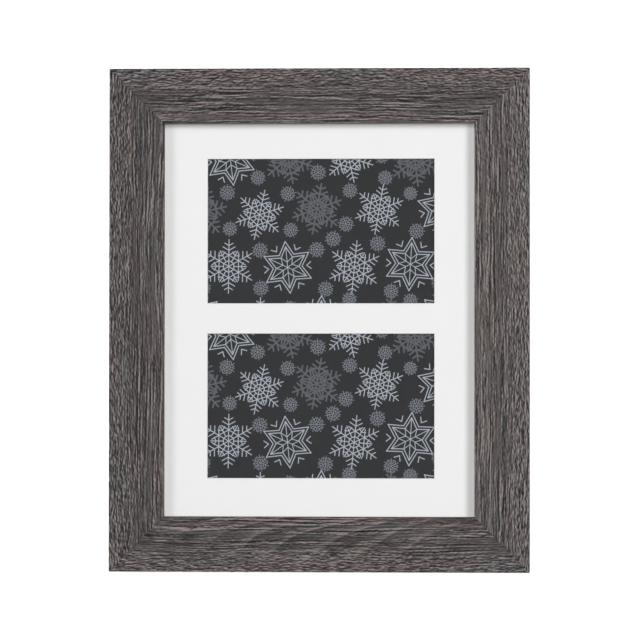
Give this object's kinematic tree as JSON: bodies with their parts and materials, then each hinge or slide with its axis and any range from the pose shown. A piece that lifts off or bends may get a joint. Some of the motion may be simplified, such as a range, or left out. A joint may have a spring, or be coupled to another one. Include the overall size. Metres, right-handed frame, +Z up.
{
  "type": "collage photo frame",
  "caption": "Grey wood-grain photo frame with a white window mat, glass, turn-button back, sawtooth hangers and a folding strut, leaning on the strut.",
  "frame": {"origin": "centre of the bounding box's underside: the table, halfway between the frame's front and the strut's foot", "axes": "+X to the viewer's right, +Y from the front to the back, +Z up"},
  "size_m": [0.2588, 0.1128, 0.3015],
  "materials": {
    "grey_oak": "embossed grey-washed oak wrap, satin",
    "clear_glass": "clear polished",
    "white_mat": "smooth matt white mat board",
    "photo_paper": "satin print, snowflakes on a charcoal ground",
    "paper_tape": "creped tape",
    "grey_card": "uncoated grey board",
    "hardboard": "black laminated hardboard",
    "zinc_steel": "zinc plated",
    "rivet_steel": "bright zinc plated",
    "nail_steel": "bright drawn steel",
    "brassed_steel": "brass plated steel"
  },
  "bodies": {
    "frame": {"rail_bottom": "grey_oak", "rail_top": "grey_oak", "rail_left": "grey_oak", "rail_right": "grey_oak", "mitre_nails": "nail_steel", "glass_pane": "clear_glass", "mat_board": "white_mat", "upper_print": "photo_paper", "lower_print": "photo_paper", "print_tapes": "paper_tape", "filler_card": "grey_card", "back_board": "hardboard", "button_screws": "brassed_steel", "hanger_nails": "nail_steel", "hinge_back_leaf": "zinc_steel", "hinge_pin": "zinc_steel", "back_leaf_rivets": "rivet_steel", "hanger_portrait": "brassed_steel", "hanger_landscape": "brassed_steel"},
    "strut": {"strut_board": "hardboard", "hinge_strut_leaf": "zinc_steel", "strut_leaf_rivets": "rivet_steel"},
    "button_bottom_left": {"turn_button_bottom_left": "zinc_steel"},
    "button_bottom_right": {"turn_button_bottom_right": "zinc_steel"},
    "button_top_left": {"turn_button_top_left": "zinc_steel"},
    "button_top_right": {"turn_button_top_right": "zinc_steel"},
    "button_left_lower": {"turn_button_left_lower": "zinc_steel"},
    "button_left_upper": {"turn_button_left_upper": "zinc_steel"},
    "button_right_lower": {"turn_button_right_lower": "zinc_steel"},
    "button_right_upper": {"turn_button_right_upper": "zinc_steel"}
  },
  "joints": [
    {"name": "strut_fold", "type": "hinge", "parent": "frame", "child": "strut", "pos_m": [0, 0.01876, 0.20604], "axis": [-1, 0, 0], "range_deg": [0, 26]},
    {"name": "button_bottom_left_turn", "type": "hinge", "parent": "frame", "child": "button_bottom_left", "pos_m": [-0.06, -0.03724, 0.01908], "axis": [0, 0.9613, -0.2756], "continuous": true},
    {"name": "button_bottom_right_turn", "type": "hinge", "parent": "frame", "child": "button_bottom_right", "pos_m": [0.06, -0.03724, 0.01908], "axis": [0, 0.9613, -0.2756], "continuous": true},
    {"name": "button_top_left_turn", "type": "hinge", "parent": "frame", "child": "button_top_left", "pos_m": [-0.06, 0.03718, 0.27862], "axis": [0, 0.9613, -0.2756], "continuous": true},
    {"name": "button_top_right_turn", "type": "hinge", "parent": "frame", "child": "button_top_right", "pos_m": [0.06, 0.03718, 0.27862], "axis": [0, 0.9613, -0.2756], "continuous": true},
    {"name": "button_left_lower_turn", "type": "hinge", "parent": "frame", "child": "button_left_lower", "pos_m": [-0.1096, -0.0207, 0.07676], "axis": [0, 0.9613, -0.2756], "continuous": true},
    {"name": "button_left_upper_turn", "type": "hinge", "parent": "frame", "child": "button_left_upper", "pos_m": [-0.1096, 0.02064, 0.22095], "axis": [0, 0.9613, -0.2756], "continuous": true},
    {"name": "button_right_lower_turn", "type": "hinge", "parent": "frame", "child": "button_right_lower", "pos_m": [0.1096, -0.0207, 0.07676], "axis": [0, 0.9613, -0.2756], "continuous": true},
    {"name": "button_right_upper_turn", "type": "hinge", "parent": "frame", "child": "button_right_upper", "pos_m": [0.1096, 0.02064, 0.22095], "axis": [0, 0.9613, -0.2756], "continuous": true}
  ]
}
